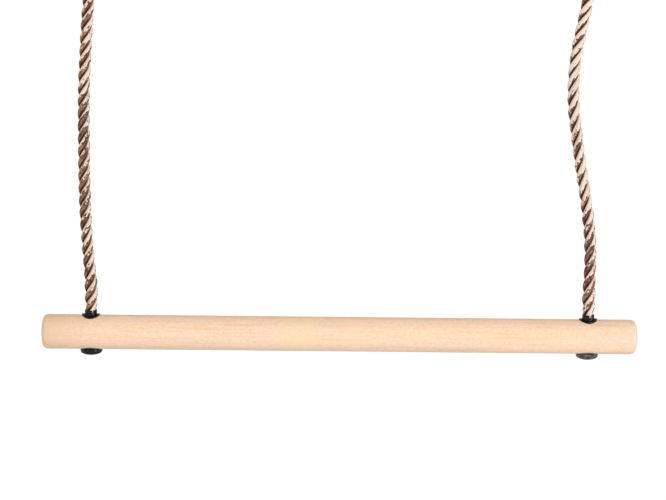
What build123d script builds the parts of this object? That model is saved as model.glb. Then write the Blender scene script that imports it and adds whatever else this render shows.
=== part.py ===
from build123d import *
from math import atan2, cos, degrees, hypot, pi, radians, sin, tan
import os

# A trapeze bar: a round wooden bar hung on two laid ropes. Millimetres, +Z up, bar along X.
# The origin is midway between the two places where the snap hooks hang on their beam fittings.

# --- driving dimensions -------------------------------------------------------------------
BAR_LENGTH = 600.0
BAR_DIAMETER = 35.0
BAR_END_ROUNDING = 5.0
HANG_HEIGHT = 550.0            # hook seat down to the bar's axis
HOLE_INSET = 48.5              # rope hole from the bar's end
ROPE_DIAMETER = 10.8
ROPE_CLEARANCE = 0.06          # rope to plastic or metal round it
BEND_RISE = 1.5                # where the rope bends, above the finger tips
BALL_CLEARANCE = 0.15          # rope's tail to the ball on which the rope bends
TAIL_SHOWING = 0.8             # rope's end below its stop
BEND_SHARE = 0.45              # part of a run that the bends at its ends take up
THIMBLE_BEND_SHARE = 0.99      # bends round the thimble, over the thimble's own size
SHARP_TURN = 45.0              # turns above this many degrees are the thimble's

COLLAR_DIAMETER = 12.4
COLLAR_TOP = 23.0              # finger tips above the bar's axis
COLLAR_BOTTOM = 2.0            # lower end of the sleeve, above the bar's axis
LIP_DIAMETER = 18.0
LIP_THICKNESS = 1.2
FINGER_COUNT = 3
LEFT_SLOT_WIDTH = 1.4          # the left fingers close more tightly on the rope
RIGHT_SLOT_WIDTH = 3.6
SLOT_TURN = -68.0              # the front slot's direction, degrees from +X
FINGER_WALL_LIMIT = 0.4        # tells a finger's outer edge from its inner one
TIP_CHAMFER = 0.35

COUNTERBORE_DIAMETER = 18.4
COUNTERBORE_TOP = -1.0         # shoulder that carries the rope stop, from the bar's axis
WASHER_DIAMETER = 18.0
WASHER_THICKNESS = 1.6
STOP_DIAMETER = 15.6
STOP_LENGTH = 9.0
STOP_ROUNDING = 1.0
CAP_DIAMETER = 22.5
CAP_RIM = 1.1                  # straight rim below the bar's lowest line
CAP_DEPTH = 5.5                # how far the dome stands below the bar
SPOT_FACE_DEPTH = 1.2          # flat seat for the cap, cut into the bar's underside
SPOT_FACE_CLEARANCE = 0.2
CAP_STEM_LENGTH = 4.0
CAP_STEM_WALL = 1.8
CAP_STEM_OVERLAP = 0.5         # how far the stem is sunk into the cap
CAP_STEM_CHAMFER = 0.6
DOME_SHOULDER = (0.8, 0.78)    # a point of the dome, over the cap's radius and depth

RING_WIRE = 6.0
RING_RADIUS = 20.0             # to the middle of the wire
THIMBLE_WALL = 1.2
THIMBLE_RADIUS = 16.8          # to the middle of the rope lying in the groove
LEG_GAP = 0.4                  # between the eye's two legs in the ferrule
EYE_LEG_DROP = 30.0            # eye centre down to where its legs turn parallel
EYE_CORNERS = 4                # turns of the route round the thimble
FERRULE_WALL = 1.9
FERRULE_LENGTH = 22.0
FERRULE_CHAMFER = 0.8
FERRULE_DROP = 43.0            # eye centre down to the ferrule's top
TAIL_PROUD = 8.0               # rope tail below the ferrule
HOOK_WIRE = 7.0
HOOK_LENGTH = 70.0
HOOK_LOWER_RADIUS = 9.0        # bends, to the middle of the wire
HOOK_UPPER_RADIUS = 12.0
GATE_LOW = 15.0                # pin above the lower wire's middle
GATE_HIGH = 45.0               # gate's tip above the lower wire's middle
TONGUE_THICKNESS = 2.4
TONGUE_STEP = 0.6              # wire's surface to the lower tongue's edge
UPPER_TONGUE_STEP = 1.3
UPPER_TONGUE_DROP = 1.4        # upper tongue's middle below the gate's tip
UPPER_TONGUE_SHIFT = 0.1
GATE_SLOT = 2.8
GATE_SLOT_DEPTH = 6.0
GATE_SLOT_END = 1.2            # round end of the lower slot, short of the slot's depth
UPPER_SLOT_SHIFT = 1.5         # the upper slot is open on the gate's outer side
PIN_DIAMETER = 2.4
PIN_PROUD = 0.2
SPRING_WIRE = 0.5
SPRING_DIAMETER = 3.0
SPRING_LENGTH = 9.0
SPRING_PITCH = 1.5
SPRING_CLEARANCE = 0.5
SPRING_SEAT = 0.6              # the spring starts this far inside the lower slot
SPRING_END_GAP = 1.0

LINK_CLEARANCE = 0.3           # between hook, ring and thimble where they hang on each other
PIN_CLEARANCE = 0.05

# Routes of the two ropes as x and z, from just above the collars up to the turn into the eye.
LEFT_ROUTE = [(-251.5, -525.5), (-250.3, -503.5), (-253.0, -476.0), (-256.2, -419.0),
              (-256.2, -359.0), (-255.5, -306.0), (-252.8, -261.0), (-249.8, -221.0),
              (-245.9, -188.0)]
RIGHT_ROUTE = [(251.5, -525.5), (251.2, -501.0), (251.9, -461.0), (247.0, -420.0),
               (237.3, -369.0), (229.4, -319.0), (228.4, -290.0), (230.6, -263.0),
               (235.1, -239.0), (239.5, -215.0), (245.9, -188.0)]

# --- worked-out places --------------------------------------------------------------------
HOLE_X = BAR_LENGTH / 2 - HOLE_INSET
BAR_Z = -HANG_HEIGHT
BAR_R = BAR_DIAMETER / 2
ROPE_R = ROPE_DIAMETER / 2
PIVOT_Z = BAR_Z + COLLAR_TOP + BEND_RISE
SPOT_FACE_Z = BAR_Z - BAR_R + SPOT_FACE_DEPTH
COUNTERBORE_Z = BAR_Z + COUNTERBORE_TOP
HOOK_TOP_Z = HOOK_WIRE / 2
HOOK_LOW_Z = HOOK_TOP_Z + HOOK_WIRE - HOOK_LENGTH
RING_TOP_Z = HOOK_LOW_Z + HOOK_WIRE / 2 + RING_WIRE / 2 + LINK_CLEARANCE
RING_Z = RING_TOP_Z - RING_RADIUS
RING_LOW_Z = RING_Z - RING_RADIUS
THIMBLE_HOLE_R = THIMBLE_RADIUS - ROPE_R - ROPE_CLEARANCE - THIMBLE_WALL
EYE_Z = RING_LOW_Z + RING_WIRE / 2 + LINK_CLEARANCE - THIMBLE_HOLE_R
LEG_SPACING = ROPE_DIAMETER + LEG_GAP
FERRULE_TOP_Z = EYE_Z - FERRULE_DROP
FERRULE_LOW_Z = FERRULE_TOP_Z - FERRULE_LENGTH

os.makedirs("parts", exist_ok=True)


def save(builder, label):
    builder.part.label = label
    export_step(builder.part, f"parts/{label}.step")


# --- the wooden bar -----------------------------------------------------------------------
with BuildPart() as bar:
    with BuildSketch(Plane.YZ.offset(-BAR_LENGTH / 2)):
        with Locations((0, BAR_Z)):
            Circle(BAR_R)
    extrude(amount=BAR_LENGTH)
    fillet(bar.edges().filter_by(GeomType.CIRCLE), radius=BAR_END_ROUNDING)
    for x in (-HOLE_X, HOLE_X):
        with BuildSketch(Plane.XY.offset(BAR_Z - BAR_R - 1)):
            with Locations((x, 0)):
                Circle(COLLAR_DIAMETER / 2 + PIN_CLEARANCE)
        extrude(amount=BAR_DIAMETER + 2, mode=Mode.SUBTRACT)
        with BuildSketch(Plane.XY.offset(COUNTERBORE_Z)):
            with Locations((x, 0)):
                Circle(COUNTERBORE_DIAMETER / 2)
        extrude(amount=-BAR_DIAMETER, mode=Mode.SUBTRACT)
        with BuildSketch(Plane.XY.offset(SPOT_FACE_Z)):
            with Locations((x, 0)):
                Circle(CAP_DIAMETER / 2 + SPOT_FACE_CLEARANCE)
        extrude(amount=-BAR_R, mode=Mode.SUBTRACT)
save(bar, "bar")


# --- fittings in the bar's holes ----------------------------------------------------------
def make_collar(side, x, slot_width):
    """Split collet: a sleeve in the bar, a lip that hugs the bar, and fingers round the rope."""
    lip_top_r = BAR_R + LIP_THICKNESS
    with BuildPart() as collar:
        with BuildSketch(Plane.XY.offset(BAR_Z)):
            with Locations((x, 0)):
                Circle(LIP_DIAMETER / 2)
        extrude(amount=lip_top_r)
        for radius, mode in ((lip_top_r, Mode.INTERSECT), (BAR_R + PIN_CLEARANCE, Mode.SUBTRACT)):
            with BuildSketch(Plane.YZ.offset(x - LIP_DIAMETER)):
                with Locations((0, BAR_Z)):
                    Circle(radius)
            extrude(amount=2 * LIP_DIAMETER, mode=mode)
        with BuildSketch(Plane.XY.offset(BAR_Z + COLLAR_BOTTOM)):
            with Locations((x, 0)):
                Circle(COLLAR_DIAMETER / 2)
        extrude(amount=COLLAR_TOP - COLLAR_BOTTOM)
        with BuildSketch(Plane.XY.offset(BAR_Z)):
            with Locations((x, 0)):
                Circle(ROPE_R + ROPE_CLEARANCE)
        extrude(amount=COLLAR_TOP + 1, mode=Mode.SUBTRACT)
        with BuildSketch(Plane.XY.offset(BAR_Z + lip_top_r)):
            for turn in range(FINGER_COUNT):
                angle = SLOT_TURN + turn * 360 / FINGER_COUNT
                reach = COLLAR_DIAMETER / 2
                centre = (x + reach * cos(radians(angle)), reach * sin(radians(angle)))
                with Locations(Location(centre, angle)):
                    Rectangle(4 * (reach - ROPE_R), slot_width)
        extrude(amount=COLLAR_TOP, mode=Mode.SUBTRACT)
        tips = collar.faces().sort_by(Axis.Z)[-FINGER_COUNT:]
        tip_arcs = tips.edges().filter_by(GeomType.CIRCLE)
        chamfer(tip_arcs.filter_by(lambda edge: edge.radius > ROPE_R + FINGER_WALL_LIMIT),
                length=TIP_CHAMFER)
    save(collar, f"{side}_collar")


def make_rope_tail(side, x):
    """The rope's stretch inside the bar, down through the collar, washer and stop."""
    low = COUNTERBORE_Z - WASHER_THICKNESS - STOP_LENGTH - TAIL_SHOWING
    high = PIVOT_Z - ROPE_R - BALL_CLEARANCE
    with BuildPart() as tail:
        with BuildSketch(Plane.XY.offset(low)):
            with Locations((x, 0)):
                Circle(ROPE_R)
        extrude(amount=high - low)
    save(tail, f"{side}_rope_tail")


def make_washer(side, x):
    """Steel washer on the counterbore's shoulder."""
    with BuildPart() as washer:
        with BuildSketch(Plane.XY.offset(COUNTERBORE_Z - WASHER_THICKNESS)):
            with Locations((x, 0)):
                Circle(WASHER_DIAMETER / 2)
                Circle(ROPE_R + ROPE_CLEARANCE, mode=Mode.SUBTRACT)
        extrude(amount=WASHER_THICKNESS)
    save(washer, f"{side}_washer")


def make_stop(side, x):
    """Aluminium sleeve crimped on the rope's end; it can't pass the washer."""
    with BuildPart() as stop:
        with BuildSketch(Plane.XY.offset(COUNTERBORE_Z - WASHER_THICKNESS - STOP_LENGTH)):
            with Locations((x, 0)):
                Circle(STOP_DIAMETER / 2)
                Circle(ROPE_R + ROPE_CLEARANCE, mode=Mode.SUBTRACT)
        extrude(amount=STOP_LENGTH)
        lower_rim = stop.faces().sort_by(Axis.Z)[0].edges().sort_by(SortBy.RADIUS)[-1]
        fillet(lower_rim, radius=STOP_ROUNDING)
    save(stop, f"{side}_stop")


def make_cap(side, x):
    """Domed plug: its flat top lies in the bar's spot face, its stem fills the counterbore."""
    cap_r = CAP_DIAMETER / 2
    bar_low = BAR_Z - BAR_R
    stem_r = COUNTERBORE_DIAMETER / 2 - PIN_CLEARANCE
    rim = (x + cap_r, bar_low - CAP_RIM)
    shoulder = (x + DOME_SHOULDER[0] * cap_r, bar_low - DOME_SHOULDER[1] * CAP_DEPTH)
    base = (x, bar_low - CAP_DEPTH)
    with BuildPart() as cap:
        with BuildSketch(Plane.XZ):
            with BuildLine():
                Polyline((x, SPOT_FACE_Z), (x + cap_r, SPOT_FACE_Z), rim)
                Spline(rim, shoulder, base, tangents=((0, -1), (-1, 0)))
                Line(base, (x, SPOT_FACE_Z))
            make_face()
        revolve(axis=Axis((x, 0, 0), (0, 0, 1)))
        with BuildSketch(Plane.XY.offset(SPOT_FACE_Z - CAP_STEM_OVERLAP)):
            with Locations((x, 0)):
                Circle(stem_r)
                Circle(stem_r - CAP_STEM_WALL, mode=Mode.SUBTRACT)
        extrude(amount=CAP_STEM_OVERLAP + CAP_STEM_LENGTH)
        stem_rim = cap.faces().sort_by(Axis.Z)[-1].edges().sort_by(SortBy.RADIUS)[-1]
        chamfer(stem_rim, length=CAP_STEM_CHAMFER)
    save(cap, f"{side}_cap")


# --- the ropes, each in one length from the collar round the thimble ----------------------
def eye_corners(x, inward):
    """Corners of the route round the thimble; inward is +1 where the bar's middle is at +X."""
    leg = LEG_SPACING / 2
    reach = hypot(leg, EYE_LEG_DROP)
    tilt = degrees(atan2(THIMBLE_RADIUS, (reach ** 2 - THIMBLE_RADIUS ** 2) ** 0.5))
    tilt -= degrees(atan2(leg, EYE_LEG_DROP))
    turn = (180 + 2 * tilt) / EYE_CORNERS
    corner_r = THIMBLE_RADIUS / cos(radians(turn / 2))
    corners = []
    for index in range(EYE_CORNERS):
        angle = radians(180 + tilt - turn * (index + 0.5))
        corners.append((x - inward * corner_r * cos(angle), EYE_Z + corner_r * sin(angle)))
    return corners


def rope_route(x, lower_route):
    """The whole route: up to the inner leg of the eye, round it, and down to the rope's end."""
    inward = 1 if x < 0 else -1
    leg = inward * LEG_SPACING / 2
    foot = EYE_Z - EYE_LEG_DROP
    tail_end = FERRULE_LOW_Z - TAIL_PROUD
    eye = [(x + leg, foot)] + eye_corners(x, inward) + [(x - leg, foot)]
    return lower_route + eye + [(x - leg, tail_end)]


def bend_radii(points):
    """A share of the shorter run over the tangent of half the turn; on the thimble, its size."""
    radii = []
    for before, here, after in zip(points, points[1:], points[2:]):
        run_in = (here[0] - before[0], here[1] - before[1])
        run_out = (after[0] - here[0], after[1] - here[1])
        turn = degrees(atan2(run_in[0] * run_out[1] - run_in[1] * run_out[0],
                             run_in[0] * run_out[0] + run_in[1] * run_out[1]))
        shorter = min(hypot(*run_in), hypot(*run_out))
        radius = BEND_SHARE * shorter / tan(radians(abs(turn) / 2))
        on_thimble = abs(turn) > SHARP_TURN
        radii.append(THIMBLE_RADIUS * THIMBLE_BEND_SHARE if on_thimble else radius)
    return radii


def make_rope(side, x, lower_route):
    """A plain round tube; its lower end is a ball, on which it bends above the finger tips."""
    points = rope_route(x, lower_route)
    radii = bend_radii(points)
    with BuildPart() as rope:
        with BuildLine(Plane.XZ) as route:
            FilletPolyline(*points, radius=radii)
        path = route.wires()[0]
        with BuildSketch(Plane(origin=path @ 0, z_dir=path % 0)):
            Circle(ROPE_R)
        sweep(path=path)
        swept_volume = rope.part.volume
        with Locations((x, 0, PIVOT_Z)):
            Sphere(ROPE_R)
    section = pi * ROPE_R ** 2
    print(side, "rope radii", [round(radius, 1) for radius in radii])
    print(side, "rope length", round(path.length, 1), "volume over section times length",
          round(swept_volume / (section * path.length), 4))
    save(rope, f"{side}_rope")


# --- end fittings of the ropes ------------------------------------------------------------
def make_thimble(side, x):
    """Round grooved thimble inside the rope's eye."""
    groove_r = ROPE_R + ROPE_CLEARANCE
    with BuildPart() as thimble:
        with BuildSketch(Plane.XY.offset(EYE_Z)):
            with Locations((x + THIMBLE_RADIUS, 0)):
                Circle(groove_r + THIMBLE_WALL)
                Circle(groove_r, mode=Mode.SUBTRACT)
            with Locations((x + THIMBLE_RADIUS + groove_r, 0)):
                Rectangle(2 * groove_r, 4 * groove_r, mode=Mode.SUBTRACT)
        revolve(axis=Axis((x, 0, EYE_Z), (0, 1, 0)))
    save(thimble, f"{side}_thimble")


def make_ferrule(side, x):
    """Oval aluminium ferrule pressed round both legs of the eye."""
    with BuildPart() as ferrule:
        with BuildSketch(Plane.XY.offset(FERRULE_LOW_Z)):
            with Locations((x, 0)):
                SlotCenterToCenter(LEG_SPACING, ROPE_DIAMETER + 2 * FERRULE_WALL)
                SlotCenterToCenter(LEG_SPACING, ROPE_DIAMETER + 2 * ROPE_CLEARANCE,
                                   mode=Mode.SUBTRACT)
        extrude(amount=FERRULE_LENGTH)
        outer_edges = ferrule.faces().filter_by(Axis.Z).edges().filter_by(
            lambda e: abs(e.center().Y) > ROPE_R + 1 or abs(e.center().X - x) > LEG_SPACING)
        chamfer(outer_edges, length=FERRULE_CHAMFER)
    save(ferrule, f"{side}_ferrule")


def make_ring(side, x):
    """Welded steel ring between the hook and the thimble."""
    with BuildPart() as ring:
        with BuildSketch(Plane.XZ):
            with Locations((x, RING_Z + RING_RADIUS)):
                Circle(RING_WIRE / 2)
        revolve(axis=Axis((x, 0, RING_Z), (1, 0, 0)))
    save(ring, f"{side}_ring")


def hook_tangents(x):
    """Ends of the straight runs that join the hook's two bends: low and high, on the +X side."""
    lower = HOOK_LOW_Z + HOOK_LOWER_RADIUS
    upper = HOOK_TOP_Z - HOOK_UPPER_RADIUS
    slope = (HOOK_UPPER_RADIUS - HOOK_LOWER_RADIUS) / (upper - lower)
    across = (1 - slope ** 2) ** 0.5
    low = (x + HOOK_LOWER_RADIUS * across, lower - HOOK_LOWER_RADIUS * slope)
    high = (x + HOOK_UPPER_RADIUS * across, upper - HOOK_UPPER_RADIUS * slope)
    return low, high


def gate_line(x):
    """Pin centre and tip of the gate, on the straight run between the hook's two bends."""
    low, high = hook_tangents(x)
    slope = (high[0] - low[0]) / (high[1] - low[1])
    start = HOOK_LOW_Z + GATE_LOW
    end = HOOK_LOW_Z + GATE_HIGH
    return (low[0] + slope * (start - low[1]), start), (low[0] + slope * (end - low[1]), end)


def make_hook(side, x):
    """Bent wire body of the snap hook, with a flat tongue at each end of its mouth."""
    low, high = hook_tangents(x)
    pin, tip = gate_line(x)
    shoulder = HOOK_WIRE / 2 + LINK_CLEARANCE
    with BuildPart() as hook:
        with BuildLine(Plane.XZ) as wire:
            Line((pin[0], pin[1] - shoulder), low)
            ThreePointArc(low, (x, HOOK_LOW_Z), (2 * x - low[0], low[1]))
            Line((2 * x - low[0], low[1]), (2 * x - high[0], high[1]))
            ThreePointArc((2 * x - high[0], high[1]), (x, HOOK_TOP_Z), high)
            Line(high, (tip[0], tip[1] + LINK_CLEARANCE))
        path = wire.wires()[0]
        with BuildSketch(Plane(origin=path @ 0, z_dir=path % 0)):
            Circle(HOOK_WIRE / 2)
        sweep(path=path)
        with BuildSketch(Plane.XZ.offset(-TONGUE_THICKNESS / 2)):
            with Locations(pin):
                Circle(HOOK_WIRE / 2 - TONGUE_STEP)
            with Locations((pin[0], pin[1] - HOOK_WIRE / 2)):
                Rectangle(HOOK_WIRE - 2 * TONGUE_STEP, HOOK_WIRE)
            with Locations((tip[0] + UPPER_TONGUE_SHIFT, tip[1] - UPPER_TONGUE_DROP)):
                Rectangle(HOOK_WIRE - 2 * UPPER_TONGUE_STEP, HOOK_WIRE)
        extrude(amount=TONGUE_THICKNESS)
        with BuildSketch(Plane.XZ.offset(-HOOK_WIRE)):
            with Locations(pin):
                Circle(PIN_DIAMETER / 2 + PIN_CLEARANCE)
        extrude(amount=2 * HOOK_WIRE, mode=Mode.SUBTRACT)
    save(hook, f"{side}_hook")


def make_gate(side, x):
    """Round gate, slotted at both ends over the tongues, drilled for its spring."""
    pin, tip = gate_line(x)
    angle = degrees(atan2(tip[0] - pin[0], tip[1] - pin[1]))
    length = hypot(tip[0] - pin[0], tip[1] - pin[1])
    stand = Plane(origin=(pin[0], 0, pin[1]), x_dir=Vector(1, 0, 0).rotate(Axis.Y, angle),
                  z_dir=Vector(0, 0, 1).rotate(Axis.Y, angle))
    with BuildPart() as gate:
        with BuildSketch(stand):
            Circle(HOOK_WIRE / 2)
        extrude(amount=length - LINK_CLEARANCE)
        with BuildSketch(Plane.XZ.offset(-HOOK_WIRE / 2)):
            with Locations(pin):
                Circle(HOOK_WIRE / 2)
        extrude(amount=HOOK_WIRE)
        with BuildSketch(Plane.XZ.offset(-GATE_SLOT / 2)):
            with Locations(pin):
                Circle(GATE_SLOT_DEPTH - GATE_SLOT_END)
            with Locations((tip[0] + UPPER_SLOT_SHIFT, tip[1])):
                Rectangle(HOOK_WIRE + 2, 2 * GATE_SLOT_DEPTH)
        extrude(amount=GATE_SLOT, mode=Mode.SUBTRACT)
        with BuildSketch(Plane.XZ.offset(-HOOK_WIRE)):
            with Locations(pin):
                Circle(PIN_DIAMETER / 2 + PIN_CLEARANCE)
        extrude(amount=2 * HOOK_WIRE, mode=Mode.SUBTRACT)
        with BuildSketch(stand):
            Circle(SPRING_DIAMETER / 2 + SPRING_CLEARANCE)
        extrude(amount=GATE_SLOT_DEPTH + SPRING_LENGTH, mode=Mode.SUBTRACT)
    save(gate, f"{side}_gate")
    with BuildPart() as spring:
        with BuildLine(stand.offset(GATE_SLOT_DEPTH - SPRING_SEAT)) as coil:
            Helix(pitch=SPRING_PITCH, height=SPRING_LENGTH - SPRING_END_GAP,
                  radius=(SPRING_DIAMETER - SPRING_WIRE) / 2)
        path = coil.wires()[0]
        with BuildSketch(Plane(origin=path @ 0, z_dir=path % 0)):
            Circle(SPRING_WIRE / 2)
        sweep(path=path, is_frenet=True)
    save(spring, f"{side}_gate_spring")


def make_gate_pin(side, x):
    """Rivet through the gate and the hook's lower tongue."""
    pin, _ = gate_line(x)
    with BuildPart() as rivet:
        with BuildSketch(Plane.XZ.offset(-HOOK_WIRE / 2 - PIN_PROUD)):
            with Locations(pin):
                Circle(PIN_DIAMETER / 2)
        extrude(amount=HOOK_WIRE + 2 * PIN_PROUD)
    save(rivet, f"{side}_gate_pin")


SIDES = (("left", -HOLE_X, LEFT_SLOT_WIDTH, LEFT_ROUTE),
         ("right", HOLE_X, RIGHT_SLOT_WIDTH, RIGHT_ROUTE))
for side, x, slot_width, lower_route in SIDES:
    make_collar(side, x, slot_width)
    make_rope_tail(side, x)
    make_washer(side, x)
    make_stop(side, x)
    make_cap(side, x)
    make_rope(side, x, lower_route)
    make_thimble(side, x)
    make_ferrule(side, x)
    make_ring(side, x)
    make_hook(side, x)
    make_gate(side, x)
    make_gate_pin(side, x)
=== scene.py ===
from math import asin, atan2, cos, hypot, pi, radians, sin

import bmesh
import bpy
from mathutils import Matrix, Vector


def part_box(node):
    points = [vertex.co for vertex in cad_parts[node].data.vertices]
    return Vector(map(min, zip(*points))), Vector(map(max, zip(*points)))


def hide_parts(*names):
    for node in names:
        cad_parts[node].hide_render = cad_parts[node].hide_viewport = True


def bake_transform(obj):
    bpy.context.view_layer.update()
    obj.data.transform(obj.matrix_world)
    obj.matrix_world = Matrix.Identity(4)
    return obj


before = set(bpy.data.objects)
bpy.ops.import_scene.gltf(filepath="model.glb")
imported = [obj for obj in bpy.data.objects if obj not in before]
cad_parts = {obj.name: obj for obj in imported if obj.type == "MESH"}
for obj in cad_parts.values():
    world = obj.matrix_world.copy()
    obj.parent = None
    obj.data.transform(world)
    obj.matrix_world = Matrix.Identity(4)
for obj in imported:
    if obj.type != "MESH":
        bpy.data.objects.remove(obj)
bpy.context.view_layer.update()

bl_info = {
    "name": "Trapeze bar",
    "version": (1, 0, 0),
    "blender": (4, 5, 0),
    "location": "View3D > Sidebar > Trapeze bar",
    "description": "A wooden trapeze bar on two laid ropes, with its collars, caps and hooks",
    "category": "Object",
}

SIDES = ("left", "right")

# --- places, worked out from the frame ------------------------------------------------------
BAR_LOW, BAR_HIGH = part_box("bar")
BAR_CENTRE = (BAR_LOW + BAR_HIGH) / 2
BAR_HALF = (BAR_HIGH.x - BAR_LOW.x) / 2


def middle(node):
    """Centre of a node's box."""
    low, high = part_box(node)
    return (low + high) / 2


def hole_x(side):
    """Where that side's rope hole is along the bar."""
    return middle(f"{side}_cap").x


# --- settings that a user would change ------------------------------------------------------
class TrapezeBarWood(bpy.types.PropertyGroup):
    pale: bpy.props.FloatVectorProperty(
        name="Pale wood", description="Colour of the clean sanded wood",
        subtype="COLOR", size=3, min=0, max=1, default=(0.975, 0.70, 0.525))
    tan: bpy.props.FloatVectorProperty(
        name="Tan end", description="Colour that the wood turns to near its left end",
        subtype="COLOR", size=3, min=0, max=1, default=(0.80, 0.53, 0.335))
    grain: bpy.props.FloatVectorProperty(
        name="Grain", description="Colour of the darker grain streaks",
        subtype="COLOR", size=3, min=0, max=1, default=(0.80, 0.52, 0.33))
    honey: bpy.props.FloatVectorProperty(
        name="Honey patches", description="Colour of the yellower patches",
        subtype="COLOR", size=3, min=0, max=1, default=(0.955, 0.70, 0.435))
    rose: bpy.props.FloatVectorProperty(
        name="Rose patch", description="Colour of the pinker patch by the middle",
        subtype="COLOR", size=3, min=0, max=1, default=(0.98, 0.66, 0.475))
    fleck: bpy.props.FloatVectorProperty(
        name="Ray flecks", description="Colour of the short fine flecks",
        subtype="COLOR", size=3, min=0, max=1, default=(0.60, 0.36, 0.21))


class TrapezeRopeLay(bpy.types.PropertyGroup):
    diameter: bpy.props.FloatProperty(
        name="Diameter", description="Thickness of the rope over its strands",
        subtype="DISTANCE", unit="LENGTH", min=0.004, default=0.0121)
    left_lay: bpy.props.FloatProperty(
        name="Left lay", description="Length in which a strand goes once round the left rope",
        subtype="DISTANCE", unit="LENGTH", min=0.01, default=0.0373)
    right_lay: bpy.props.FloatProperty(
        name="Right lay", description="Length in which a strand goes once round the right rope",
        subtype="DISTANCE", unit="LENGTH", min=0.01, default=0.0407)
    strands: bpy.props.IntProperty(
        name="Strands", description="Strands laid together", min=2, max=4, default=3)
    yarns: bpy.props.IntProperty(
        name="Yarns", description="Yarns round each strand", min=6, max=16, default=12)
    cream: bpy.props.FloatVectorProperty(
        name="Cream yarn", description="Colour of the light yarns",
        subtype="COLOR", size=3, min=0, max=1, default=(1.0, 0.82, 0.68))
    brown: bpy.props.FloatVectorProperty(
        name="Brown yarn", description="Colour of the dark yarns",
        subtype="COLOR", size=3, min=0, max=1, default=(0.30, 0.132, 0.078))
    # Painted shade: a dark colour laid along the grooves between the strands and yarns, where
    # shade falls
    painted_groove_shade: bpy.props.FloatVectorProperty(
        name="Groove", description="Colour deep between the strands",
        subtype="COLOR", size=3, min=0, max=1, default=(0.068, 0.020, 0.009))


class TrapezeFittings(bpy.types.PropertyGroup):
    plastic: bpy.props.FloatVectorProperty(
        name="Plastic", description="Colour of the collars and caps",
        subtype="COLOR", size=3, min=0, max=1, default=(0.006, 0.005, 0.006))
    ribs: bpy.props.IntProperty(
        name="Ribs", description="Fine ribs round the right cap", min=0, max=120, default=54)
    rib_wear: bpy.props.FloatVectorProperty(
        name="Rib wear", description="Colour of the ribs' worn tops",
        subtype="COLOR", size=3, min=0, max=1, default=(0.40, 0.37, 0.32))
    zinc: bpy.props.FloatVectorProperty(
        name="Zinc", description="Colour of the plated steel",
        subtype="COLOR", size=3, min=0, max=1, default=(0.46, 0.48, 0.50))
    aluminium: bpy.props.FloatVectorProperty(
        name="Aluminium", description="Colour of the pressed ferrules",
        subtype="COLOR", size=3, min=0, max=1, default=(0.60, 0.61, 0.62))


class TrapezeStage(bpy.types.PropertyGroup):
    distance: bpy.props.FloatProperty(
        name="Camera distance", description="Camera to the bar's middle",
        subtype="DISTANCE", unit="LENGTH", min=0.2, default=1.8)
    rise: bpy.props.FloatProperty(
        name="Camera rise", description="Angle at which the bar's middle is looked down on",
        subtype="ANGLE", unit="ROTATION", default=radians(13.1))
    pitch: bpy.props.FloatProperty(
        name="Camera pitch", description="Angle that the camera is turned down",
        subtype="ANGLE", unit="ROTATION", default=radians(10.387))
    aside: bpy.props.FloatProperty(
        name="Camera aside", description="Camera to the right of the bar's middle",
        subtype="DISTANCE", unit="LENGTH", default=-0.0073)
    roll: bpy.props.FloatProperty(
        name="Camera roll", description="Turn of the camera about its own axis",
        subtype="ANGLE", unit="ROTATION", default=radians(0.57))
    lens: bpy.props.FloatProperty(
        name="Lens", description="Focal length on a 36 mm wide sensor",
        subtype="DISTANCE_CAMERA", unit="CAMERA", min=10, default=95.86)
    drop: bpy.props.FloatProperty(
        name="Floor drop", description="Floor below the bar's axis",
        subtype="DISTANCE", unit="LENGTH", min=0.05, default=0.9)


# --- patterns in the finishes, in metres unless they say otherwise --------------------------
WANDER = (6, 40, 40)            # waves per metre along the bar and across it, here and below
BROAD_CLOUDS = (7, 75, 75)
LONG_GRAIN = (11, 300, 300)
FINE_GRAIN = (55, 1300, 1300)
MOTTLE = (330, 520, 520)
RAY_FLECKS = (300, 2300, 2300)
PITH = (0, 0.031, -0.014)       # turns the end's rings about a point outside the bar
RING_WIDTH = 0.0023
END_FACE = 0.0012               # depth of the end grain at each end
TAN_REACH = 0.085               # how far the tan colour comes in from the left end
PATCH_EDGE = 0.014
PATCHES = (("honey", -0.066, -0.014, 0.55), ("rose", -0.004, 0.034, 0.6))   # tint, span, amount
GRAIN_DEPTH = 0.00006
YARN_RELIEF = 0.00016
PLASTIC_RELIEF = 0.00002
RIB_HEIGHT = 6.0                # over the plastic's grain
SCUFF_LIFT = 0.006              # how much paler a scuff is, as colour
METAL_RELIEF = 0.00003
WELD_SIZE = 0.0055
WELD_TURN = radians(12)         # above the ring's middle, at its back
PRESS_SPACING = 0.0042          # between the press marks round a ferrule


# --- shader expressions ---------------------------------------------------------------------
class Wire:
    """An output socket. Python arithmetic on it adds the Math node that does it."""

    def __init__(self, finish, socket):
        self.finish = finish
        self.socket = socket

    def math(self, operation, *values):
        settings = {"operation": operation}
        return self.finish.node("ShaderNodeMath", settings, dict(enumerate(values)))

    def __add__(self, other):
        return self.math("ADD", self, other)

    def __sub__(self, other):
        return self.math("SUBTRACT", self, other)

    def __mul__(self, other):
        return self.math("MULTIPLY", self, other)

    def __truediv__(self, other):
        return self.math("DIVIDE", self, other)

    def __abs__(self):
        return self.math("ABSOLUTE", self)

    def floor(self):
        return self.math("FLOOR", self)

    def fraction(self):
        return self.math("FRACT", self)

    def sine(self):
        return self.math("SINE", self)

    def root(self):
        return self.math("SQRT", self)

    def greatest(self, other):
        return self.math("MAXIMUM", self, other)

    def angle(self, other):
        """The angle whose tangent is this wire over the other, right round the circle."""
        return self.math("ARCTAN2", self, other)

    def ramp(self, low, high, out_low=0.0, out_high=1.0):
        """Smooth step from out_low at low to out_high at high."""
        settings = {"interpolation_type": "SMOOTHSTEP"}
        return self.finish.node("ShaderNodeMapRange", settings,
                                {0: self, 1: low, 2: high, 3: out_low, 4: out_high})


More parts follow.
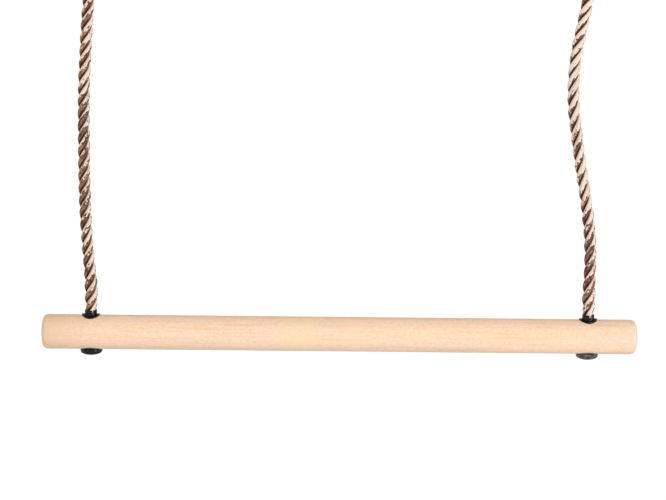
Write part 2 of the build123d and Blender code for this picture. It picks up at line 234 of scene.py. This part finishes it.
class Finish:
    """A material being built. It holds the Principled shader that everything feeds."""

    def __init__(self, name, **constants):
        self.material = bpy.data.materials.new(name)
        self.material.use_nodes = True
        self.tree = self.material.node_tree
        self.shader = self.tree.nodes["Principled BSDF"]
        for socket, value in constants.items():
            self.shader.inputs[socket.replace("_", " ")].default_value = value

    def node(self, kind, settings=None, inputs=None, output=0):
        made = self.tree.nodes.new(kind)
        for name, value in (settings or {}).items():
            setattr(made, name, value)
        for name, value in (inputs or {}).items():
            self.feed(made.inputs[name], value)
        return Wire(self, made.outputs[output])

    def feed(self, socket, value):
        if isinstance(value, Wire):
            self.tree.links.new(value.socket, socket)
        else:
            socket.default_value = value

    def split(self, vector):
        """A vector's x, y and z."""
        parts = self.tree.nodes.new("ShaderNodeSeparateXYZ")
        self.feed(parts.inputs[0], vector)
        return [Wire(self, output) for output in parts.outputs]

    def place(self):
        """The object coordinates, whole and as x, y and z."""
        vector = self.node("ShaderNodeTexCoord", output="Object")
        return vector, *self.split(vector)

    def vector(self, x, y, z=0.0):
        return self.node("ShaderNodeCombineXYZ", None, {0: x, 1: y, 2: z})

    def length(self, vector):
        settings = {"operation": "LENGTH"}
        return self.node("ShaderNodeVectorMath", settings, {0: vector}, output="Value")

    def attribute(self, name):
        return self.node("ShaderNodeAttribute", {"attribute_name": name}, output="Fac")

    def stretch(self, vector, scale, location=(0.0, 0.0, 0.0)):
        return self.node("ShaderNodeMapping", None,
                         {"Vector": vector, "Location": location, "Scale": scale})

    def noise(self, vector, scale=1.0, detail=2.0, roughness=0.5):
        return self.node("ShaderNodeTexNoise", None,
                         {"Vector": vector, "Scale": scale, "Detail": detail,
                          "Roughness": roughness})

    def mix(self, factor, first, second):
        """Colour between first and second, each a wire or three channels."""
        first, second = (colour if isinstance(colour, Wire) else (*colour, 1.0)
                         for colour in (first, second))
        return self.node("ShaderNodeMix", {"data_type": "RGBA"},
                         {0: factor, 6: first, 7: second}, output=2)

    def bump(self, height, distance):
        inputs = {"Height": height, "Distance": distance, "Strength": 1.0}
        self.feed(self.shader.inputs["Normal"], self.node("ShaderNodeBump", None, inputs))

    def surface(self, **values):
        for socket, value in values.items():
            self.feed(self.shader.inputs[socket.replace("_", " ")], value)
        return self.material


def shade(colour, *factors):
    """The colour with each channel times its own factor, or all times the one given."""
    return tuple(channel * factor for channel, factor in zip(colour, factors * 3))


def wood_finish(look):
    """Fine sanded beech: long faint grain, short ray flecks, tan towards the left end."""
    wood = Finish("sanded_beech", Specular_IOR_Level=0.16, Sheen_Weight=0.16, Sheen_Roughness=0.4)
    vector, x, _, _ = wood.place()
    centred = wood.stretch(vector, (1, 1, 1), tuple(-BAR_CENTRE))
    wander = wood.noise(wood.stretch(centred, WANDER), detail=3.0)
    long_grain = wood.noise(wood.stretch(centred, LONG_GRAIN), detail=6.0, roughness=0.62)
    fine_grain = wood.noise(wood.stretch(centred, FINE_GRAIN), detail=3.0, roughness=0.6)
    mottle = wood.noise(wood.stretch(centred, MOTTLE), detail=3.0, roughness=0.6)
    broad = wood.noise(wood.stretch(centred, BROAD_CLOUDS), detail=3.0)
    flecks = wood.noise(wood.stretch(centred, RAY_FLECKS), detail=1.0)
    colour = wood.mix(broad.ramp(0.42, 0.66, 0.0, 0.45), look.pale, look.honey)
    colour = wood.mix(long_grain.ramp(0.48, 0.70, 0.0, 0.50), colour, look.grain)
    colour = wood.mix(fine_grain.ramp(0.50, 0.72, 0.0, 0.42), colour, look.grain)
    colour = wood.mix(mottle.ramp(0.38, 0.56, 0.36, 0.0), colour, look.grain)
    shifted = x + (wander - 0.5) * 0.03
    for tint, start, end, amount in PATCHES:
        inside = shifted.ramp(start, start + PATCH_EDGE) * shifted.ramp(end, end - PATCH_EDGE)
        colour = wood.mix(inside * amount, colour, getattr(look, tint))
    left_end = (x + wander * 0.05).ramp(TAN_REACH - BAR_HALF, -BAR_HALF - 0.002, 0.0, 0.85)
    colour = wood.mix(left_end, colour, look.tan)
    colour = wood.mix(flecks.ramp(0.64, 0.73, 0.0, 0.45), colour, look.fleck)
    from_pith = wood.length(wood.stretch(centred, (0, 1, 1), PITH))
    rings = ((from_pith + wander * 0.002) * 2 * pi / RING_WIDTH).sine()
    end_face = abs(x).ramp(BAR_HALF - END_FACE, BAR_HALF - END_FACE / 6)
    colour = wood.mix(end_face * rings.ramp(-0.2, 1.0, 0.12, 0.5), colour, look.grain)
    wood.bump(long_grain * 0.6 + fine_grain * 0.5 - flecks.ramp(0.66, 0.74) * 0.5, GRAIN_DEPTH)
    return wood.surface(Base_Color=colour, Roughness=long_grain.ramp(0.3, 0.75, 0.52, 0.66))


def rope_finish(look):
    """Laid yarns: cream on one flank of each strand, brown on the other, and dark painted shade in
    the grooves between the strands and between the yarns.
    """
    rope = Finish("laid_yarns", Specular_IOR_Level=0.1)
    turns, flank, _ = rope.split(rope.node("ShaderNodeUVMap", {"uv_map": "lay"}))
    share = rope.attribute("cream_share")
    strand = rope.attribute("strand")
    yarn = (flank + turns) * float(look.yarns)
    number = yarn.floor() + strand * 17.0
    across = abs(yarn.fraction() - 0.5) * 2.0
    chance = rope.node("ShaderNodeTexWhiteNoise", {"noise_dimensions": "1D"}, {"W": number})
    fibres = rope.noise(rope.vector(turns * 24.0 + strand * 7.0, yarn * 3.0, strand),
                        detail=4.0, roughness=0.7)
    drift = rope.noise(rope.vector(turns * 9.0 + strand * 5.0, number * 3.7), roughness=0.6)
    patches = rope.noise(rope.vector(turns * 2.6 + strand * 9.0, flank * 1.5))
    light = rope.mix(fibres.ramp(0.42, 0.66), look.cream, shade(look.cream, 0.80))
    light = rope.mix((chance * 0.5 + drift * 0.5).ramp(0.5, 0.75, 0.0, 0.55), light,
                     shade(look.cream, 0.74, 0.60, 0.50))
    dark = rope.mix(fibres.ramp(0.36, 0.64), shade(look.brown, 0.50),
                    shade(look.brown, 2.1, 2.5, 2.8))
    dark = rope.mix((drift * 0.5 + patches * 0.5).ramp(0.42, 0.60), dark,
                    shade(look.brown, 0.40))
    edge = flank + (chance - 0.5) * 0.14 + (drift - 0.5) * 0.95
    colour = rope.mix((edge - share).ramp(-0.03, 0.03), light, dark)
    # Painted shade: the groove colour darkens both edges of each strand, fuller on one flank than
    # on the other
    right_groove_shade = flank.ramp(0.66, 0.76, 0.0, 1.0)
    left_groove_shade = flank.ramp(0.27, 0.19, 0.0, 0.85)
    colour = rope.mix(right_groove_shade.greatest(left_groove_shade), colour, look.painted_groove_shade)
    # Painted shade: the groove colour darkens the edges between neighbouring yarns
    colour = rope.mix(across.ramp(0.62, 1.0, 0.0, 0.50), colour, look.painted_groove_shade)
    rope.bump(fibres * 0.6 - across * across, YARN_RELIEF)
    return rope.surface(Base_Color=colour, Roughness=fibres.ramp(0.2, 0.8, 0.62, 0.85))


def plastic_finish(look, name, roughness, ribbed=None):
    """Moulded black plastic with a faint grain, and fine ribs round the node named by ribbed."""
    plastic = Finish(name, IOR=1.5, Specular_IOR_Level=0.22)
    vector, x, y, _ = plastic.place()
    grain = plastic.noise(vector, 900.0, detail=3.0)
    scuffs = plastic.noise(plastic.stretch(vector, (160, 160, 700)), detail=4.0, roughness=0.7)
    scuffed = [channel * 3 + SCUFF_LIFT for channel in look.plastic]
    colour = plastic.mix(scuffs.ramp(0.55, 0.8, 0.0, 0.3), look.plastic, scuffed)
    height = grain
    if ribbed:
        centre = middle(ribbed)
        rib = ((x - centre.x).angle(y - centre.y) * float(look.ribs)).sine()
        worn = rib.ramp(0.2, 1.0) * scuffs.ramp(0.36, 0.58)
        colour = plastic.mix(worn, colour, look.rib_wear)
        height = grain * 0.5 + rib * RIB_HEIGHT
    plastic.bump(height, PLASTIC_RELIEF)
    return plastic.surface(Base_Color=colour,
                           Roughness=scuffs.ramp(0.35, 0.75, roughness, roughness + 0.22))


def metal_finish(name, colour, spangle_size, roughness, weld=None, pressed=None):
    """Patchy grey metal with fine drawn lines and tarnish.

    A weld is a place, with x as a distance from the bar's middle, so there is one on each side.
    Pressed metal has marks round it, and is given their spacing.
    """
    metal = Finish(name, Metallic=1.0)
    vector, x, y, z = metal.place()
    spangle = metal.node("ShaderNodeTexVoronoi", {"feature": "F1"},
                         {"Vector": vector, "Scale": 1 / spangle_size}, output="Color")
    patch = metal.node("ShaderNodeSeparateColor", None, {0: spangle})
    cloud = metal.noise(vector, 120.0, detail=4.0, roughness=0.6)
    lines = metal.noise(metal.stretch(vector, (500, 2500, 500)))
    tone = metal.mix(patch.ramp(0.0, 1.0, 0.0, 0.45), colour, shade(colour, 0.66))
    tone = metal.mix(cloud.ramp(0.48, 0.72, 0.0, 0.5), tone, shade(colour, 0.42))
    height = lines * 0.5 + cloud
    rough = cloud.ramp(0.3, 0.7, roughness, roughness + 0.2)
    if weld:
        away = metal.length(metal.vector(abs(x) - weld[0], y - weld[1], z - weld[2]))
        near = away.ramp(WELD_SIZE, WELD_SIZE * 1.5, 1.0, 0.0)
        beads = metal.noise(vector, 900.0)
        tone = metal.mix(near * beads.ramp(0.3, 0.6), tone, shade(colour, 0.35))
        height = height + near * (beads * 8.0 + 14.0)
        rough = rough + near * 0.15
    if pressed:
        mark = (abs((z / pressed).fraction() - 0.5) * 2.0).ramp(0.0, 0.28, 1.0, 0.0)
        tone = metal.mix(mark, tone, shade(colour, 0.6))
        height = height - mark * 10.0
    metal.bump(height, METAL_RELIEF)
    return metal.surface(Base_Color=tone, Roughness=rough)


def weld_place():
    """The middle of each ring's weld, with x as a distance from the bar's middle."""
    low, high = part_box("right_ring")
    back = (high.y - low.y) / 2 * cos(WELD_TURN)
    up = (high.z - low.z) / 2 * sin(WELD_TURN)
    return hole_x("right"), back, middle("right_ring").z + up


# --- mesh helpers ---------------------------------------------------------------------------
def finished(name, mesh_bm, material, close_ends=True):
    """A linked smooth object from a bmesh, with its open ends closed and its normals outward."""
    bmesh.ops.remove_doubles(mesh_bm, verts=mesh_bm.verts, dist=1e-7)
    open_edges = [edge for edge in mesh_bm.edges if edge.is_boundary]
    if close_ends and open_edges:
        bmesh.ops.edgeloop_fill(mesh_bm, edges=open_edges)
    bmesh.ops.recalc_face_normals(mesh_bm, faces=mesh_bm.faces)
    mesh = bpy.data.meshes.new(name)
    mesh_bm.to_mesh(mesh)
    mesh_bm.free()
    mesh.materials.append(material)
    mesh.shade_smooth()
    made = bpy.data.objects.new(name, mesh)
    bpy.context.scene.collection.objects.link(made)
    return made


def dress(node, material):
    """Gives a CAD node its finish."""
    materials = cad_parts[node].data.materials
    materials.clear()
    materials.append(material)


# --- the ropes ------------------------------------------------------------------------------
MM = 0.001
ROUTES = {                      # x and z in mm, from inside the collar up to the eye's leg
    "left": [(-251.5, -531.0), (-250.3, -503.5), (-253.0, -476.0), (-256.2, -419.0),
             (-256.2, -359.0), (-255.5, -306.0), (-252.8, -261.0), (-249.8, -221.0),
             (-245.9, -188.0)],
    "right": [(251.5, -531.0), (251.2, -501.0), (251.9, -461.0), (247.0, -420.0),
              (237.3, -369.0), (229.4, -319.0), (228.4, -290.0), (230.6, -263.0),
              (235.1, -239.0), (239.5, -215.0), (245.9, -188.0)],
}
EYE_CORNERS = 4
EYE_LEG_DROP = 0.030            # thimble's middle to where the legs run side by side
LEG_SPACING = 0.0112
TAIL_PROUD = 0.008              # the cut end, below the ferrule
SPLINE_STEPS = 24               # line points made from each corner of a route
RING_STEP = 0.00085
SIDES_ROUND_STRAND = 36
STRAND_SEAT = 0.525             # rope's middle to a strand's middle, over the rope's radius
STRAND_ROUND = 0.535            # a strand's half thickness round the rope, over the same
YARN_DEPTH = 0.07               # valleys between the yarns, over a strand's half thickness
UNEVEN = 0.035                  # how much a strand's thickness wanders, over the same
SQUEEZED = 0.885                # rope in the collar's fingers or the ferrule, over the free rope
FREED_BY = (-0.0005, 0.007)     # above the finger tips, where the squeezed rope fills out
BULGE = {"left": 0.115, "right": 0.09}
BULGE_GROWS = (0.002, 0.014)    # above the finger tips
BULGE_FADES = (0.020, 0.050)
FERRULE_BELOW = 0.006           # lengths over which the ferrule's squeeze begins and ends
FERRULE_ABOVE = 0.008
SEALED_END = 0.0045             # length over which the cut end is melted to a rounded tip
TIP_SIZE = 0.55                 # of the rope's thickness, at the very end
FIRST_TURN = {"left": 0.092, "right": 0.0}


def eye_route(side):
    """The route's corners from where the leg turns out, round the thimble, to the rope's end."""
    centre = middle(f"{side}_thimble")
    low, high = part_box(f"{side}_thimble")
    radius = (high.x - low.x) / 2
    leg = LEG_SPACING / 2
    foot = centre.z - EYE_LEG_DROP
    tilt = asin(radius / hypot(leg, EYE_LEG_DROP)) - atan2(leg, EYE_LEG_DROP)
    turn = (pi + 2 * tilt) / EYE_CORNERS
    tangent_run = (hypot(leg, EYE_LEG_DROP) ** 2 - radius ** 2) ** 0.5
    inward = 1 if centre.x < 0 else -1
    leg *= inward
    points = [(centre.x + leg, foot - tangent_run), (centre.x + leg, foot)]
    for index in range(EYE_CORNERS):
        angle = pi + tilt - turn * (index + 0.5)
        corner = radius / cos(turn / 2)
        points.append((centre.x - inward * corner * cos(angle), centre.z + corner * sin(angle)))
    tail_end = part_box(f"{side}_ferrule")[0].z - TAIL_PROUD
    return points + [(centre.x - leg, foot), (centre.x - leg, tail_end)]


def rope_line(side):
    """Points along the rope's smooth line, read from a NURBS spline through its route."""
    points = [(x * MM, z * MM) for x, z in ROUTES[side]] + eye_route(side)
    curve = bpy.data.curves.new(f"{side}_rope_route", "CURVE")
    curve.dimensions = "3D"
    spline = curve.splines.new("NURBS")
    spline.points.add(len(points) - 1)
    for point, (x, z) in zip(spline.points, points):
        point.co = (x, 0.0, z, 1.0)
    spline.order_u = 3
    spline.use_endpoint_u = True
    spline.resolution_u = SPLINE_STEPS
    carrier = bpy.data.objects.new(curve.name, curve)
    bpy.context.scene.collection.objects.link(carrier)
    bpy.context.view_layer.update()
    mesh = bpy.data.meshes.new_from_object(carrier)
    line = [vertex.co.copy() for vertex in mesh.vertices]
    bpy.data.objects.remove(carrier)
    bpy.data.curves.remove(curve)
    bpy.data.meshes.remove(mesh)
    return line


def even_steps(line, step):
    """Points a steady step apart along a line, each with the length up to it."""
    lengths = [0.0]
    for before, after in zip(line, line[1:]):
        lengths.append(lengths[-1] + (after - before).length)
    count = round(lengths[-1] / step)
    points = []
    index = 0
    for number in range(count + 1):
        along = lengths[-1] * number / count
        while index < len(line) - 2 and lengths[index + 1] < along:
            index += 1
        part = (along - lengths[index]) / (lengths[index + 1] - lengths[index])
        points.append((line[index].lerp(line[index + 1], part), along))
    return points


def smooth_step(value, low, high):
    """0 below low, 1 above high, and an even curve between them."""
    part = min(1.0, max(0.0, (value - low) / (high - low)))
    return part * part * (3 - 2 * part)


def rope_size(side, height, ferrule, tips, left_over):
    """Thickness of the rope at a height, over its free thickness."""
    above = height - tips
    size = SQUEEZED + (1 - SQUEEZED) * smooth_step(above, *FREED_BY)
    size += BULGE[side] * smooth_step(above, *BULGE_GROWS) * (1 - smooth_step(above, *BULGE_FADES))
    gripped = smooth_step(height, ferrule[0].z - FERRULE_BELOW, ferrule[0].z)
    gripped *= 1 - smooth_step(height, ferrule[1].z, ferrule[1].z + FERRULE_ABOVE)
    size *= 1 - (1 - SQUEEZED) * gripped
    tip = 1 - min(1.0, left_over / SEALED_END)
    return size * (TIP_SIZE + (1 - TIP_SIZE) * (1 - tip * tip) ** 0.5)


def cream_share(side, height, along):
    """Where round a strand the cream yarns give way to the brown ones."""
    if side == "left":
        return 0.425 + 0.05 * sin(along * 31.0) + 0.03 * sin(along * 83.0 + 1.0)
    above_bar = height - BAR_CENTRE.z
    high_up = smooth_step(above_bar, 0.11, 0.16)
    by_collar = 1 - smooth_step(above_bar, 0.018, 0.036)
    return 0.43 + 0.20 * high_up + 0.24 * by_collar + 0.05 * sin(along * 47.0 + 2.0)


def lay_strands(side, look, material):
    """Strands of yarns laid round the rope's line, each a grid rolled into a tube.

    Gives back the rope and its line. The strands' UV map has turns along the rope and the part
    round the strand, and two attributes say which strand it is and where its cream ends.
    """
    steps = even_steps(rope_line(side), RING_STEP)
    count = len(steps)
    total = steps[-1][1]
    lay = look.left_lay if side == "left" else look.right_lay
    radius = look.diameter / 2
    seat = radius * STRAND_SEAT
    reach_out = radius - seat
    reach_round = radius * STRAND_ROUND
    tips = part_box(f"{side}_collar")[1].z
    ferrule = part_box(f"{side}_ferrule")
    rings = []
    for index, (point, along) in enumerate(steps):
        ahead = steps[min(index + 1, count - 1)][0]
        behind = steps[max(index - 1, 0)][0]
        tangent = (ahead - behind).normalized()
        across = Vector((tangent.z, 0.0, -tangent.x))
        size = rope_size(side, point.z, ferrule, tips, total - along)
        rings.append((point, along / lay, across, size, cream_share(side, point.z, along)))
    whole = bmesh.new()
    uv = whole.loops.layers.uv.new("lay")
    share_layer = whole.verts.layers.float.new("cream_share")
    strand_layer = whole.verts.layers.float.new("strand")
    for strand in range(look.strands):
        grid = bmesh.ops.create_grid(whole, x_segments=count - 1, y_segments=SIDES_ROUND_STRAND,
                                     size=0.5)
        places = {vertex: (round((vertex.co.x + 0.5) * (count - 1)), vertex.co.y + 0.5)
                  for vertex in grid["verts"]}
        for face in {face for vertex in grid["verts"] for face in vertex.link_faces}:
            for loop in face.loops:
                row, part_round = places[loop.vert]
                loop[uv].uv = (rings[row][1], part_round)
        for vertex, (row, part_round) in places.items():
            point, turns, across, size, share = rings[row]
            turn = 2 * pi * (turns + strand / look.strands + FIRST_TURN[side])
            out = across * cos(turn) + Vector((0.0, sin(turn), 0.0))
            side_way = Vector((0.0, cos(turn), 0.0)) - across * sin(turn)
            angle = 2 * pi * part_round - pi
            yarn = (part_round + turns) * look.yarns
            scallop = 1 - YARN_DEPTH * (2 * abs(yarn % 1.0 - 0.5)) ** 2
            plump = 1 + UNEVEN * sin(turns * 5.1 + strand * 2.3) * sin(turns * 13.7 + strand)
            lift = out * (seat + reach_out * cos(angle) * scallop * plump)
            shift = side_way * (reach_round * sin(angle) * scallop)
            vertex.co = point + size * (lift + shift)
            vertex[strand_layer] = float(strand)
            vertex[share_layer] = share
    rope = finished(f"{side}_laid_rope", whole, material)
    return rope, [tuple(point) for point, _ in steps]


# --- the stage: places are from the bar's middle ---------------------------------------------
SOFT_LIGHTS = (                 # name, place, width, height, power in watts
    ("front_softbox", (-0.3, -2.1, 1.05), 1.6, 1.6, 19.3),
    ("top_softbox", (0.0, 0.2, 2.0), 2.0, 2.0, 5.0),
    ("side_strip", (1.42, -1.3, 0.05), 0.22, 1.2, 11.5))
FLOOR_HALF = 12.0
FLOOR_TONES = ((0.66, 0.66, 0.66), (0.70, 0.70, 0.70))
FLOOR_FADE = (1.0, 2.0)         # radii between which the floor goes over into white
BLACK = (0.0, 0.0, 0.0)
WHITE = (1.0, 1.0, 1.0)
AMBIENT = 0.45
WHITE_LEVEL = 1.03              # white beyond the floor, a little over the clipping level


# --- operators ------------------------------------------------------------------------------
class TRAPEZE_OT_bar(bpy.types.Operator):
    """Finish the turned wooden bar"""
    bl_idname = "trapeze.bar"
    bl_label = "Wooden bar"

    def execute(self, context):
        dress("bar", wood_finish(context.scene.trapeze_wood))
        return {"FINISHED"}


class TRAPEZE_OT_ropes(bpy.types.Operator):
    """Lay both ropes from the collars round the thimbles"""
    bl_idname = "trapeze.ropes"
    bl_label = "Laid ropes"

    def execute(self, context):
        look = context.scene.trapeze_rope
        material = rope_finish(look)
        for side in SIDES:
            rope, line = lay_strands(side, look, material)
            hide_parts(f"{side}_rope")
            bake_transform(rope)
            dress(f"{side}_rope_tail", material)
        return {"FINISHED"}


class TRAPEZE_OT_plastics(bpy.types.Operator):
    """Finish the split collars and the domed caps"""
    bl_idname = "trapeze.plastics"
    bl_label = "Collars and caps"

    def execute(self, context):
        look = context.scene.trapeze_fittings
        collar = plastic_finish(look, "glossy_black_plastic", 0.10)
        for side in SIDES:
            dress(f"{side}_collar", collar)
        dress("left_cap", plastic_finish(look, "smooth_black_cap", 0.14))
        dress("right_cap", plastic_finish(look, "ribbed_black_cap", 0.14, "right_cap"))
        return {"FINISHED"}


class TRAPEZE_OT_metals(bpy.types.Operator):
    """Finish the rings, hooks, thimbles and ferrules"""
    bl_idname = "trapeze.metals"
    bl_label = "Metal fittings"

    def execute(self, context):
        look = context.scene.trapeze_fittings
        zinc = metal_finish("zinc_plated_steel", look.zinc, 0.004, 0.30)
        bright = metal_finish("bright_steel", look.zinc, 0.008, 0.18)
        pressed = metal_finish("pressed_aluminium", look.aluminium, 0.006, 0.36,
                               pressed=PRESS_SPACING)
        welded = metal_finish("welded_zinc_ring", look.zinc, 0.004, 0.30, weld=weld_place())
        for side in SIDES:
            dress(f"{side}_ring", welded)
            for piece in ("thimble", "hook", "gate", "washer"):
                dress(f"{side}_{piece}", zinc)
            for piece in ("gate_pin", "gate_spring"):
                dress(f"{side}_{piece}", bright)
            for piece in ("ferrule", "stop"):
                dress(f"{side}_{piece}", pressed)
        return {"FINISHED"}


class TRAPEZE_OT_stage(bpy.types.Operator):
    """Set the floor, the soft studio light and the camera"""
    bl_idname = "trapeze.stage"
    bl_label = "Stage"

    def execute(self, context):
        scene = context.scene
        stage = scene.trapeze_stage
        scene.view_settings.view_transform = "Standard"
        self.camera(scene, stage)
        self.floor(stage)
        self.lights()
        self.world(scene)
        return {"FINISHED"}

    def camera(self, scene, stage):
        data = bpy.data.cameras.new("studio_camera")
        data.lens = stage.lens
        data.clip_end = 50
        camera = bpy.data.objects.new("studio_camera", data)
        scene.collection.objects.link(camera)
        eye = BAR_CENTRE + Vector((stage.aside, -stage.distance * cos(stage.rise),
                                   stage.distance * sin(stage.rise)))
        level = Matrix.Rotation(pi / 2 - stage.pitch, 4, "X")
        camera.matrix_world = Matrix.Translation(eye) @ level @ Matrix.Rotation(stage.roll, 4, "Z")
        scene.camera = camera

    def floor(self, stage):
        ground = bmesh.new()
        bmesh.ops.create_grid(ground, x_segments=1, y_segments=1, size=FLOOR_HALF)
        bmesh.ops.translate(ground, verts=ground.verts,
                            vec=(0.0, 0.0, BAR_CENTRE.z - stage.drop))
        pale = Finish("pale_floor", Roughness=0.9, Specular_IOR_Level=0.0,
                      Emission_Strength=WHITE_LEVEL)
        vector, x, y, _ = pale.place()
        cloud = pale.noise(vector, 1.5)
        fade = (x * x + y * y).root().ramp(*FLOOR_FADE)
        colour = pale.mix(cloud.ramp(0.3, 0.7), *FLOOR_TONES)
        surface = pale.surface(Base_Color=pale.mix(fade, colour, BLACK),
                               Emission_Color=pale.mix(fade, BLACK, WHITE))
        finished("floor", ground, surface, close_ends=False)

    def lights(self):
        for name, place, width, height, power in SOFT_LIGHTS:
            data = bpy.data.lights.new(name, "AREA")
            data.shape = "RECTANGLE"
            data.size = width
            data.size_y = height
            data.energy = power
            light = bpy.data.objects.new(name, data)
            bpy.context.scene.collection.objects.link(light)
            light.location = BAR_CENTRE + Vector(place)
            aim = BAR_CENTRE - light.location
            light.rotation_euler = aim.to_track_quat("-Z", "Y").to_euler()

    def world(self, scene):
        world = bpy.data.worlds.new("white_studio")
        world.use_nodes = True
        scene.world = world
        tree = world.node_tree
        background = tree.nodes["Background"]
        background.inputs["Color"].default_value = (*WHITE, 1.0)
        path = tree.nodes.new("ShaderNodeLightPath")
        level = tree.nodes.new("ShaderNodeMapRange")
        level.inputs["To Min"].default_value = AMBIENT
        level.inputs["To Max"].default_value = WHITE_LEVEL
        tree.links.new(path.outputs["Is Camera Ray"], level.inputs["Value"])
        tree.links.new(level.outputs["Result"], background.inputs["Strength"])


class TRAPEZE_PT_panel(bpy.types.Panel):
    """Lists the steps that build the trapeze bar"""
    bl_label = "Trapeze bar"
    bl_idname = "TRAPEZE_PT_panel"
    bl_space_type = "VIEW_3D"
    bl_region_type = "UI"
    bl_category = "Trapeze bar"

    def draw(self, context):
        scene = context.scene
        for step in STEPS:
            self.layout.operator(step.bl_idname)
        for name in SETTINGS:
            group = getattr(scene, name)
            for prop in group.bl_rna.properties:
                if prop.identifier not in ("rna_type", "name"):
                    self.layout.prop(group, prop.identifier)


SETTINGS = {"trapeze_wood": TrapezeBarWood, "trapeze_rope": TrapezeRopeLay,
            "trapeze_fittings": TrapezeFittings, "trapeze_stage": TrapezeStage}
STEPS = (TRAPEZE_OT_stage, TRAPEZE_OT_ropes, TRAPEZE_OT_bar, TRAPEZE_OT_plastics,
         TRAPEZE_OT_metals)


def register():
    for cls in (*SETTINGS.values(), *STEPS, TRAPEZE_PT_panel):
        bpy.utils.register_class(cls)
    for name, group in SETTINGS.items():
        setattr(bpy.types.Scene, name, bpy.props.PointerProperty(type=group))


def unregister():
    for name in SETTINGS:
        delattr(bpy.types.Scene, name)
    for cls in reversed((*SETTINGS.values(), *STEPS, TRAPEZE_PT_panel)):
        bpy.utils.unregister_class(cls)


def main():
    register()
    bpy.ops.trapeze.stage()
    bpy.ops.trapeze.ropes()
    bpy.ops.trapeze.bar()
    bpy.ops.trapeze.plastics()
    bpy.ops.trapeze.metals()
    bpy.context.view_layer.update()


if __name__ == "__main__":
    main()
